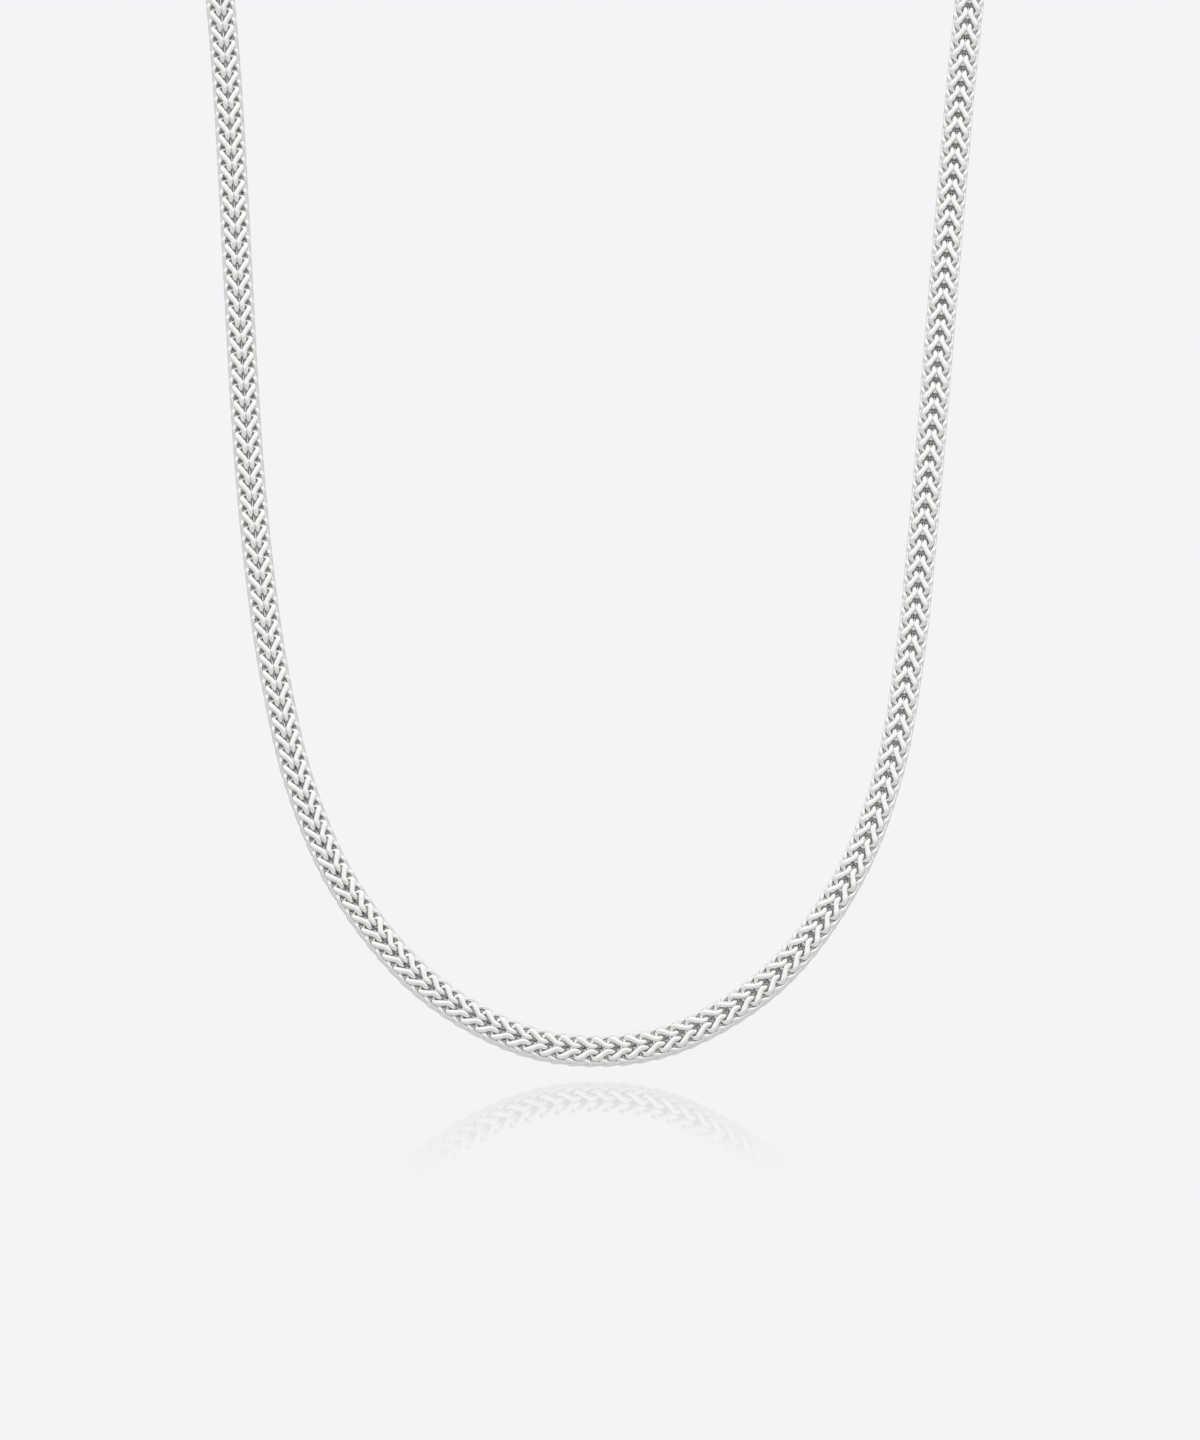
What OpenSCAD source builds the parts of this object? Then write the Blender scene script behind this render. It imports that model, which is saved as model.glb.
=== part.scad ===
// Neck chain of square four-sided V links, in the curve that it takes when worn:
// a deep U in front, over the shoulders, and round the nape to a plain clasp.
// X runs to the wearer's left, Y from front to back, Z up. The origin is at the nape.

/* [Chain] */
// Width of the square chain across its flat sides
chain_w = 4; // [3:0.5:4]
// Chamfer that stands for the rounded edges of the links
edge_cut = 1; // [0.6:0.1:1.4]
// Angle that the front of the chain leans back from upright
lean = 15; // [10:1:20]
// Rings of the swept chain for each stretch between two route points
rings_per_span = 2; // [1:1:2]

/* [End caps] */
// Bore of the cup that holds the end of the chain
cup_bore_d = 5.1; // [5:0.1:5.4]
// Outer diameter of the cup
cup_d = 6; // [5.9:0.1:6.6]
// Depth of the cup's bore
cup_depth = 5.5; // [4:0.5:6]
// Thickness of the cup's closed end
cup_end_t = 0.8; // [0.6:0.1:1.2]
// Centre-line radius of the loop soldered on the cup
loop_r = 1.5; // [1.4:0.1:1.6]
// Wire diameter of that loop
loop_wire_d = 0.8; // [0.6:0.1:0.9]

/* [Clasp] */
// Distance from the nape to the centre of the wire at either end of the clasp
clasp_half = 6.5; // [6:0.5:7]
// Centre-line radius of the eye at the clasp's tail
eye_r = 1.5; // [1.4:0.1:1.6]
// Wire diameter of that eye
eye_wire_d = 0.9; // [0.7:0.1:0.9]
// Centre-line radius of the round ends of the clasp's body
bow_r = 2.3; // [2.1:0.1:2.6]
// Wire diameter of the clasp's body
bow_wire_d = 1.6; // [1.4:0.1:1.7]
// Gap between pieces that hang in each other
play = 0.15; // [0.1:0.05:0.2]

/* [Hidden] */
silver = "silver";
$fn = 48;

// How far the lowest point of the chain lies in front of the nape, and below it
front_y = -136;
front_z = -202;

// Route of the front, in the leaning plane: across, and up from the lowest point
FRONT = [
    [-51, 140], [-50, 125.5], [-49, 108.5], [-48, 92], [-47, 79], [-45.5, 65],
    [-43.5, 52], [-40, 37], [-34, 23], [-24, 10.2], [-11.5, 2.2],
    [0.5, 0],
    [12.5, 2.5], [25, 11], [34.5, 24.5], [40, 39.5], [43, 56.5], [44.5, 70.5],
    [46, 86.5], [47.5, 104], [49, 121], [50.5, 137.5]
];

// Route of the hidden stretch, on the +X side, from the front up and round to the nape
NECK = [
    [52.5, -96, -51], [54.5, -86, -33], [56, -71, -18], [56, -52, -8.5], [52.5, -33, -3.5],
    [45, -16.5, -1], [33.5, -5, 0], [21, -0.5, 0], [9.7, 0, 0]
];

route = concat(
    [for (i = [len(NECK) - 1 : -1 : 0]) mirrored(NECK[i])],
    [for (p = FRONT) on_front(p)],
    NECK
);
// The route is carried on past both ends, to set the direction of its end stretches
guided = concat([[2, 0, 0]], route, [[-2, 0, 0]]);
span_count = len(route) - 1;
ring_count = span_count * rings_per_span + 1;
ring_points = [for (i = [0 : ring_count - 1]) on_route(i / rings_per_span)];
ring_runs = [for (i = [0 : ring_count - 1]) run_of_route(i / rings_per_span)];
front_normal = [0, -cos(lean), sin(lean)];
low_ring = floor(ring_count / 2);
normals_after = [
    for (i = low_ring, n = front_normal; i < ring_count; i = i + 1, n = i < ring_count ? across(n, ring_runs[i]) : n) n
];
normals_before = [
    for (i = low_ring, n = front_normal; i >= 0; i = i - 1, n = i >= 0 ? across(n, ring_runs[i]) : n) n
];
ring_normals = concat(
    [for (i = [low_ring : -1 : 1]) normals_before[i]],
    normals_after
);

// Outline of the chain's section: a square with its corners cut
half_w = chain_w / 2;
flat_w = half_w - edge_cut;
SECTION = [
    [half_w, -flat_w], [half_w, flat_w], [flat_w, half_w], [-flat_w, half_w],
    [-half_w, flat_w], [-half_w, -flat_w], [-flat_w, -half_w], [flat_w, -half_w]
];

// Where the loops on the cups have their centres, from the nape
left_loop_x = clasp_half - eye_wire_d / 2 - play - loop_wire_d / 2 + loop_r;
right_loop_x = clasp_half - bow_wire_d / 2 - play - loop_wire_d / 2 + loop_r;
// The loop's wire sinks into the cup's closed end by this much
solder = 0.2;
bow_far_x = clasp_half - bow_r;
eye_x = eye_r - clasp_half;
bow_near_x = eye_x + eye_r + bow_r;
overlap = 0.01;

function mirrored(p) = [-p[0], p[1], p[2]];
function on_front(p) = [p[0], front_y + p[1] * sin(lean), front_z + p[1] * cos(lean)];
function unit(v) = v / norm(v);
function across(n, run) = unit(n - (n * run) * run);

// Point on the smooth curve through the route's points, t counted in stretches
function on_route(t) =
    let (i = min(floor(t), span_count - 1), u = t - i)
    let (a = guided[i], b = guided[i + 1], c = guided[i + 2], d = guided[i + 3])
    b + u / 2 * ((c - a) + u * ((2 * a - 5 * b + 4 * c - d) + u * (3 * b - a - 3 * c + d)));

// Direction of that curve
function run_of_route(t) =
    let (i = min(floor(t), span_count - 1), u = t - i)
    let (a = guided[i], b = guided[i + 1], c = guided[i + 2], d = guided[i + 3])
    unit((c - a) + 2 * u * (2 * a - 5 * b + 4 * c - d) + 3 * u * u * (3 * b - a - 3 * c + d));

// The section's outline, stood square to the route at ring i
function ring(i) =
    let (p = ring_points[i], n = ring_normals[i], side = cross(ring_runs[i], ring_normals[i]))
    [for (q = SECTION) p + q[0] * side + q[1] * n];

module sweep_section() {
    sides = len(SECTION);
    walls = [
        for (i = [0 : ring_count - 2], k = [0 : sides - 1])
            let (next = (k + 1) % sides)
            [i * sides + k, i * sides + next, (i + 1) * sides + next, (i + 1) * sides + k]
    ];
    polyhedron(
        points = [for (i = [0 : ring_count - 1], p = ring(i)) p],
        faces = concat(
            [[for (k = [sides - 1 : -1 : 0]) k]],
            walls,
            [[for (k = [0 : sides - 1]) (ring_count - 1) * sides + k]]
        )
    );
}

module chain() {
    color(silver) sweep_section();
}

module torus(radius, wire_d) {
    rotate_extrude() translate([radius, 0]) circle(d = wire_d);
}

// Cup with a soldered loop, along +X, its loop's centre at loop_x
module end_cap(loop_x) {
    cup_x = loop_x + loop_r + loop_wire_d / 2 - solder;
    translate([loop_x, 0, 0]) rotate([90, 0, 0]) torus(loop_r, loop_wire_d);
    translate([cup_x, 0, 0]) rotate([0, 90, 0]) difference() {
        cylinder(d = cup_d, h = cup_end_t + cup_depth);
        translate([0, 0, cup_end_t]) cylinder(d = cup_bore_d, h = cup_depth + overlap);
    }
}

module end_cap_left() {
    color(silver) mirror([1, 0, 0]) end_cap(left_loop_x);
}

module end_cap_right() {
    color(silver) end_cap(right_loop_x);
}

// Round end of the clasp's body, open towards -X
module bow_end() {
    rotate([0, 0, -90]) rotate_extrude(angle = 180) translate([bow_r, 0]) circle(d = bow_wire_d);
}

module clasp() {
    color(silver) {
        translate([eye_x, 0, 0]) torus(eye_r, eye_wire_d);
        translate([bow_near_x, 0, 0]) mirror([1, 0, 0]) bow_end();
        translate([bow_far_x, 0, 0]) bow_end();
        for (side = [-1, 1])
            translate([bow_near_x, side * bow_r, 0]) rotate([0, 90, 0])
                cylinder(d = bow_wire_d, h = bow_far_x - bow_near_x);
    }
}

chain();
end_cap_left();
end_cap_right();
clasp();
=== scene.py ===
import math
import random

import bpy
import numpy as np
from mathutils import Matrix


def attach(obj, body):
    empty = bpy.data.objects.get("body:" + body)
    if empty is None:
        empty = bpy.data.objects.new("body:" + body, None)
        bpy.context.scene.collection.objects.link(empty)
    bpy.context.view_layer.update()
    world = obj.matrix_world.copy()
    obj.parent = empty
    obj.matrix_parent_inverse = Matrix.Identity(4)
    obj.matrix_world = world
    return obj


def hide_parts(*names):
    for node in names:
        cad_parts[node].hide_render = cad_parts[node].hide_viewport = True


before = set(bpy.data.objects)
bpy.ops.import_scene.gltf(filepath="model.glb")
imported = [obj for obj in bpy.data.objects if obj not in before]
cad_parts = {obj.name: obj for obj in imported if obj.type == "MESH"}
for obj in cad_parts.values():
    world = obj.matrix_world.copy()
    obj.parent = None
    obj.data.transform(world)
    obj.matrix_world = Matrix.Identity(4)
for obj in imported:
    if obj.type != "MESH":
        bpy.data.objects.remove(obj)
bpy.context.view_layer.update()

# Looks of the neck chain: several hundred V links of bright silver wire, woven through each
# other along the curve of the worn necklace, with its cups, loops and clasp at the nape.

MM = 0.001

# Route of the chain, in mm, as in the part's source
LEAN = math.radians(15)
FRONT_Y = -136
FRONT_Z = -202
FRONT = [
    (-51, 140), (-50, 125.5), (-49, 108.5), (-48, 92), (-47, 79), (-45.5, 65),
    (-43.5, 52), (-40, 37), (-34, 23), (-24, 10.2), (-11.5, 2.2),
    (0.5, 0),
    (12.5, 2.5), (25, 11), (34.5, 24.5), (40, 39.5), (43, 56.5), (44.5, 70.5),
    (46, 86.5), (47.5, 104), (49, 121), (50.5, 137.5),
]
NECK = [
    (52.5, -96, -51), (54.5, -86, -33), (56, -71, -18), (56, -52, -8.5), (52.5, -33, -3.5),
    (45, -16.5, -1), (33.5, -5, 0), (21, -0.5, 0), (9.7, 0, 0),
]
LOWEST = np.array([0.5, FRONT_Y, FRONT_Z]) * MM
# The route is carried on past both ends, to this far beyond the middle of the nape, to set the
# direction of its end stretches
GUIDE = 2 * MM
# At its lowest point the chain is rolled down out of its leaning plane by this angle. The roll
# fades out within this length to either side.
ROLL = math.radians(4)
ROLL_REACH = 75 * MM

# One link, in mm. It is a closed ring of wire, folded in two. Each row is a place on a quarter
# of it, from the middle of the fold to the crown: out towards the face, across the face, and
# along the chain against the way that the V points.
LINK_QUARTER = [
    (0.00, 0.35, 0.00),
    (0.60, 0.40, 0.00),
    (1.15, 0.40, 0.20),
    (1.55, 0.40, 0.70),
    (1.70, 0.35, 1.25),
    (1.70, 0.70, 1.80),
    (1.75, 1.10, 2.35),
    (1.60, 1.35, 2.85),
    (1.20, 0.95, 3.35),
    (0.90, 0.00, 3.80),
]
WIRE_D = 0.665 * MM
# Corners round the wire, and rings of them along it
WIRE_SIDES = 10
LINK_RINGS = 72
# The wire is pressed flat in the chain's four faces, this far from the chain's centre line
FACE_OUT = 2.0 * MM
# There it is also wider by this share: not yet at the first of these distances from the centre
# line, and in full from the second on
BULGE = 0.2
BULGE_FROM = 1.5 * MM
BULGE_FULL = 1.7 * MM
# Gap between the two legs of a V
LEG_GAP = 0.03 * MM
# Least distance from each link to the next, and the gap left at either end of the chain
LINK_PITCH = 1.125 * MM
END_CLEARANCE = 0.1 * MM
# Each link is turned about the chain by chance, mostly by less than this, in degrees
LINK_TURN = 0.25
SHUFFLE_SEED = 5
# Joined meshes that hold the links
LINK_PIECES = 5

# Camera: level, this far in front of the lowest point. It sees this far, in metres, and its
# sensor is this high, in mm.
CAMERA_DISTANCE = 1500 * MM
CAMERA_REACH = 100
SENSOR_H = 36
# Picture: its height, its middle, the focal length and the place of the lowest point, in pixels
IMAGE_H = 1440
IMAGE_CENTRE_PX = (600, 720)
FOCAL_PX = 11130
LOW_LINK_PX = (598.8, 1051)

# Colours in linear light
SILVER = (0.97, 0.965, 0.955, 1)
BACKDROP = (0.896, 0.905, 0.922, 1)
WHITE = (1, 1, 1, 1)

# Silver: least and most roughness of its clouds, the values of their noise where these are
# reached, and the fine scratches
SILVER_ROUGHNESS = (0.1, 0.16)
CLOUD_RANGE = (0.3, 0.7)
CLOUD_SCALE = 900.0
SCRATCH_SCALE = 9000.0
SCRATCH_DEPTH = 0.02 * MM
SCRATCH_STRENGTH = 0.08

# Brightness of the tent at its foot and its walls, what its top adds, and the share of it all
# that is left behind the chain
TENT_FOOT = 0.68
TENT_WALL = 0.95
TENT_TOP = 0.1
TENT_BEHIND = 0.82
# Each change comes about between two directions: from foot to wall and from wall to top between
# two heights, 1 being straight up, and from front to behind and from the tent to the plain
# backdrop between two depths, 1 being straight behind the chain
WALL_FROM_TO = (-0.2, 0.5)
TOP_FROM_TO = (0.5, 0.9)
BEHIND_FROM_TO = (0.0, 0.4)
BACKDROP_FROM_TO = (0.95, 0.99)

# The floor reaches this far each way, in metres, and lies this far under the lowest link
FLOOR_HALF = 8
FLOOR_GAP = 0.95 * MM
# Its shine is full between the first two of these places, front to back, and gone by the others
SHINE_FULL = (-200 * MM, 400 * MM)
SHINE_GONE = (-520 * MM, 700 * MM)
SHINE = 0.24
SHINE_ROUGHNESS = 0.02


class Tree:
    """Short calls for making and linking shader nodes."""

    def __init__(self, node_tree):
        self.tree = node_tree
        self.tree.nodes.clear()

    def add(self, kind, values=None, **settings):
        node = self.tree.nodes.new(kind)
        for name, value in settings.items():
            setattr(node, name, value)
        for socket, value in (values or {}).items():
            self.put(node.inputs[socket], value)
        return node

    def put(self, socket, value):
        if isinstance(value, bpy.types.NodeSocket):
            self.tree.links.new(value, socket)
        else:
            socket.default_value = value

    def maths(self, operation, first, second=0.0):
        node = self.add("ShaderNodeMath", {0: first, 1: second}, operation=operation)
        return node.outputs[0]

    def ease(self, value, low, high, at_low, at_high):
        """at_low where value is under low, at_high where it is over high, smooth between."""
        node = self.add(
            "ShaderNodeMapRange",
            {
                "Value": value,
                "From Min": low,
                "From Max": high,
                "To Min": at_low,
                "To Max": at_high,
            },
            interpolation_type="SMOOTHSTEP",
        )
        return node.outputs["Result"]


def unit(v):
    return v / np.linalg.norm(v, axis=-1, keepdims=True)


def route_points():
    """The whole route, from the chain's left end round the front to its right end."""
    back, rise = math.sin(LEAN), math.cos(LEAN)
    front = [(x, FRONT_Y + up * back, FRONT_Z + up * rise) for x, up in FRONT]
    mirrored = [(-x, y, z) for x, y, z in reversed(NECK)]
    return np.array(mirrored + front + NECK) * MM


class Route:
    """The chain's centre line, with its own frame at every place, by length from the left end."""

    # Short steps between each two points of the route
    STEPS = 60

    def __init__(self):
        points = route_points()
        guided = np.vstack([[GUIDE, 0, 0], points, [-GUIDE, 0, 0]])
        spans = len(points) - 1
        t = np.linspace(0, spans, spans * self.STEPS + 1)
        i = np.minimum(t.astype(int), spans - 1)
        u = (t - i)[:, None]
        # The smooth curve of the part's source, between b and c
        a, b, c, d = (guided[i + k] for k in range(4))
        chord = c - a
        bend = 2 * a - 5 * b + 4 * c - d
        bend_change = 3 * b - a - 3 * c + d
        self.point = b + u / 2 * (chord + u * (bend + u * bend_change))
        self.run = unit(chord + 2 * u * bend + 3 * u * u * bend_change)
        steps = np.linalg.norm(np.diff(self.point, axis=0), axis=1)
        self.at = np.concatenate([[0], np.cumsum(steps)])
        self.length = self.at[-1]
        low = int(np.argmin(np.linalg.norm(self.point - LOWEST, axis=1)))
        self.lowest_at = self.at[low]
        # Way that the chain's front face looks, carried both ways from the lowest point
        self.face = np.zeros_like(self.point)
        self.face[low] = (0, -math.cos(LEAN), math.sin(LEAN))
        for rows in (range(low + 1, len(t)), range(low - 1, -1, -1)):
            last = self.face[low]
            for row in rows:
                last = unit(last - (last @ self.run[row]) * self.run[row])
                self.face[row] = last

    def read(self, table, at):
        """Rows of one of the tables above, at these lengths along the chain."""
        return np.stack([np.interp(at, self.at, table[:, k]) for k in range(3)], axis=-1)

    def place(self, at, towards_face, sideways):
        """Points at these lengths along the chain, this far off its centre line."""
        run = unit(self.read(self.run, at))
        face = self.read(self.face, at)
        face = unit(face - (face * run).sum(-1, keepdims=True) * run)
        side = np.cross(run, face)
        roll = roll_at(at - self.lowest_at)[..., None]
        face, side = (
            np.cos(roll) * face + np.sin(roll) * side,
            np.cos(roll) * side - np.sin(roll) * face,
        )
        off_line = towards_face[..., None] * face + sideways[..., None] * side
        return self.read(self.point, at) + off_line


def roll_at(distance):
    """How far the chain is rolled down, this far along it from its lowest point."""
    near = np.clip(1 - (distance / ROLL_REACH) ** 2, 0, 1)
    return ROLL * near ** 2


def link_loop():
    """A link's centre line: a smooth closed curve through the quarter and its mirror images."""
    quarter = np.array(LINK_QUARTER) * MM
    across, out = (1, -1, 1), (-1, 1, 1)
    loop = np.concatenate([
        quarter,
        (quarter * across)[::-1][1:],
        (quarter * across * out)[1:],
        (quarter * out)[::-1][1:-1],
    ])
    # Slopes that give the curve no sudden change of bend anywhere
    count = len(loop)
    bands = np.eye(count)
    system = 4 * bands + np.roll(bands, 1, axis=0) + np.roll(bands, -1, axis=0)
    slope = np.linalg.solve(system, 3 * (np.roll(loop, -1, axis=0) - np.roll(loop, 1, axis=0)))
    t = np.arange(LINK_RINGS) * count / LINK_RINGS
    i = t.astype(int)
    u = (t - i)[:, None]
    a, b = loop[i], loop[(i + 1) % count]
    slope_a, slope_b = slope[i], slope[(i + 1) % count]
    return (
        a * (1 - u) ** 2 * (1 + 2 * u) + b * u ** 2 * (3 - 2 * u)
        + slope_a * u * (1 - u) ** 2 - slope_b * u ** 2 * (1 - u)
    )


def link_mesh():
    """Vertices and faces of one straight link, as rings of wire round its centre line."""
    path = link_loop()
    run = unit(np.roll(path, -1, axis=0) - np.roll(path, 1, axis=0))
    # Sideways directions that follow the wire, with a slow turn so that the last meets the first
    first = unit(np.cross(run[0], (0, 0, 1)))
    normals = [first]
    for direction in run[1:]:
        last = normals[-1]
        normals.append(unit(last - (last @ direction) * direction))
    normals = np.array(normals)
    closing = unit(normals[-1] - (normals[-1] @ run[0]) * run[0])
    twist = math.atan2(np.cross(closing, first) @ run[0], closing @ first)
    rows = np.arange(LINK_RINGS)
    corners = np.arange(WIRE_SIDES)
    angle = twist * rows[:, None] / LINK_RINGS + corners * 2 * math.pi / WIRE_SIDES
    binormals = np.cross(run, normals)
    offset = (
        np.cos(angle)[..., None] * normals[:, None]
        + np.sin(angle)[..., None] * binormals[:, None]
    )
    points = path[:, None] + WIRE_D / 2 * offset
    # Pressed flat in the faces: the wire's outer side is cut off there, and bulges sideways
    out = np.abs(points[..., :1])
    pressed = np.clip((out - BULGE_FROM) / (BULGE_FULL - BULGE_FROM), 0, 1)
    points[..., 1:] += BULGE * pressed * (points[..., 1:] - path[:, None, 1:])
    points[..., 0] = np.clip(points[..., 0], -FACE_OUT, FACE_OUT)
    # The two legs of a V lie side by side, and don't bulge into each other
    side = np.sign(path[:, None, 1])
    apart = np.maximum(points[..., 1] * side, LEG_GAP / 2) * side
    points[..., 1] = np.where(pressed[..., 0] > 0, apart, points[..., 1])
    points = points.reshape(-1, 3)
    faces = []
    for row in rows:
        here, there = row * WIRE_SIDES, (row + 1) % LINK_RINGS * WIRE_SIDES
        for k in range(WIRE_SIDES):
            beside = (k + 1) % WIRE_SIDES
            faces.append((here + k, there + k, there + beside, here + beside))
    return points, np.array(faces)


def make_links(route):
    """All links, in joined meshes that follow each other along the chain."""
    points, faces = link_mesh()
    out, across, along = points.T
    first_at = along.max() + END_CLEARANCE
    last_at = route.length + along.min() - END_CLEARANCE
    count = int((last_at - first_at) / LINK_PITCH) + 1
    places = np.linspace(first_at, last_at, count)
    shuffle = random.Random(SHUFFLE_SEED)
    metal = silver("chain_silver")
    pieces = []
    for number, part in enumerate(np.array_split(np.arange(count), LINK_PIECES)):
        vertices = []
        for link in part:
            turn = math.radians(shuffle.gauss(0, LINK_TURN))
            towards_face = math.cos(turn) * out - math.sin(turn) * across
            sideways = math.sin(turn) * out + math.cos(turn) * across
            # Every other link shows its V in the chain's left and right faces
            if link % 2:
                towards_face, sideways = -sideways, towards_face
            vertices.append(route.place(places[link] - along, towards_face, sideways))
        shown = np.concatenate(vertices)
        starts = np.arange(len(part)) * len(points)
        shown_faces = (faces[None] + starts[:, None, None]).reshape(-1, 4)
        mesh = bpy.data.meshes.new(f"chain_links_{number + 1}")
        mesh.from_pydata(shown.tolist(), [], shown_faces.tolist())
        mesh.polygons.foreach_set("use_smooth", np.ones(len(shown_faces), dtype=bool))
        mesh.materials.append(metal)
        piece = bpy.data.objects.new(mesh.name, mesh)
        bpy.context.scene.collection.objects.link(piece)
        pieces.append(piece)
    return pieces


def silver(name):
    """Bright polished silver, a little cloudy and finely scratched."""
    material = bpy.data.materials.new(name)
    material.use_nodes = True
    tree = Tree(material.node_tree)
    place = tree.add("ShaderNodeTexCoord").outputs["Object"]
    cloud = tree.add("ShaderNodeTexNoise", {"Vector": place, "Scale": CLOUD_SCALE, "Detail": 3.0})
    scratch = tree.add(
        "ShaderNodeTexNoise",
        {"Vector": place, "Scale": SCRATCH_SCALE, "Detail": 2.0},
    )
    rough = tree.ease(cloud.outputs["Fac"], *CLOUD_RANGE, *SILVER_ROUGHNESS)
    bump = tree.add(
        "ShaderNodeBump",
        {
            "Strength": SCRATCH_STRENGTH,
            "Distance": SCRATCH_DEPTH,
            "Height": scratch.outputs["Fac"],
        },
    )
    shader = tree.add(
        "ShaderNodeBsdfPrincipled",
        {
            "Metallic": 1.0,
            "Base Color": SILVER,
            "Roughness": rough,
            "Normal": bump.outputs["Normal"],
        },
    )
    tree.add("ShaderNodeOutputMaterial", {"Surface": shader.outputs[0]})
    return material


def dress_fittings():
    """The cups with their loops and the clasp keep their shape, and get their silver."""
    metal = silver("fitting_silver")
    for name in ("end_cap_left", "end_cap_right", "clasp"):
        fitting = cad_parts[name]
        if not fitting.material_slots:
            fitting.data.materials.append(metal)
        for slot in fitting.material_slots:
            slot.material = metal


def make_camera():
    """A level camera that puts the lowest point of the chain in its place in the picture."""
    camera = bpy.data.objects.new("camera", bpy.data.cameras.new("camera"))
    bpy.context.scene.collection.objects.link(camera)
    camera.data.sensor_fit = "VERTICAL"
    camera.data.sensor_height = SENSOR_H
    camera.data.lens = FOCAL_PX * SENSOR_H / IMAGE_H
    camera.data.clip_end = CAMERA_REACH
    per_px = CAMERA_DISTANCE / FOCAL_PX
    camera.location = (
        LOWEST[0] + (IMAGE_CENTRE_PX[0] - LOW_LINK_PX[0]) * per_px,
        LOWEST[1] - CAMERA_DISTANCE,
        LOWEST[2] + (LOW_LINK_PX[1] - IMAGE_CENTRE_PX[1]) * per_px,
    )
    camera.rotation_euler = (math.pi / 2, 0, 0)
    bpy.context.scene.camera = camera


def make_floor(height):
    """A floor that looks like the backdrop, and mirrors the chain faintly near it."""
    ways = ((-1, -1), (1, -1), (1, 1), (-1, 1))
    corners = [(x * FLOOR_HALF, y * FLOOR_HALF, height) for x, y in ways]
    mesh = bpy.data.meshes.new("studio_floor")
    mesh.from_pydata(corners, [], [(0, 1, 2, 3)])
    material = bpy.data.materials.new("studio_floor")
    material.use_nodes = True
    tree = Tree(material.node_tree)
    glow = tree.add("ShaderNodeEmission", {"Color": BACKDROP})
    gloss = tree.add("ShaderNodeBsdfGlossy", {"Color": WHITE, "Roughness": SHINE_ROUGHNESS})
    place = tree.add("ShaderNodeTexCoord").outputs["Object"]
    from_front = tree.add("ShaderNodeSeparateXYZ", {0: place}).outputs["Y"]
    before = tree.ease(from_front, SHINE_GONE[0], SHINE_FULL[0], 0.0, SHINE)
    behind = tree.ease(from_front, SHINE_FULL[1], SHINE_GONE[1], SHINE, 0.0)
    share = tree.maths("MINIMUM", before, behind)
    mix = tree.add("ShaderNodeMixShader", {0: share, 1: glow.outputs[0], 2: gloss.outputs[0]})
    tree.add("ShaderNodeOutputMaterial", {"Surface": mix.outputs[0]})
    mesh.materials.append(material)
    floor = bpy.data.objects.new("studio_floor", mesh)
    bpy.context.scene.collection.objects.link(floor)
    floor.visible_glossy = False
    floor.visible_diffuse = False


def make_light():
    """A pale tent, greyer below and behind. The camera sees only the plain backdrop."""
    world = bpy.data.worlds.new("studio")
    bpy.context.scene.world = world
    world.use_nodes = True
    tree = Tree(world.node_tree)
    direction = tree.add("ShaderNodeTexCoord").outputs["Generated"]
    axes = tree.add("ShaderNodeSeparateXYZ", {0: direction}).outputs
    wall = tree.ease(axes["Z"], *WALL_FROM_TO, TENT_FOOT, TENT_WALL)
    top = tree.ease(axes["Z"], *TOP_FROM_TO, 0.0, TENT_TOP)
    kept = tree.ease(axes["Y"], *BEHIND_FROM_TO, 1.0, TENT_BEHIND)
    total = tree.maths("MULTIPLY", tree.maths("ADD", wall, top), kept)
    tent = tree.add("ShaderNodeBackground", {"Color": WHITE, "Strength": total})
    plain = tree.add("ShaderNodeBackground", {"Color": BACKDROP, "Strength": 1.0})
    # Straight behind the chain the backdrop takes the tent's place for every ray
    behind = tree.ease(axes["Y"], *BACKDROP_FROM_TO, 0.0, 1.0)
    seen = tree.add("ShaderNodeLightPath").outputs["Is Camera Ray"]
    share = tree.maths("MAXIMUM", seen, behind)
    mix = tree.add("ShaderNodeMixShader", {0: share, 1: tent.outputs[0], 2: plain.outputs[0]})
    tree.add("ShaderNodeOutputWorld", {"Surface": mix.outputs[0]})
    bpy.context.scene.view_settings.view_transform = "Standard"


make_camera()
make_light()
chain_route = Route()
links = make_links(chain_route)
for piece in links:
    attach(piece, "root")
    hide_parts("chain")
dress_fittings()
lowest_z = min(vertex.co.z for piece in links for vertex in piece.data.vertices)
make_floor(lowest_z - FLOOR_GAP)
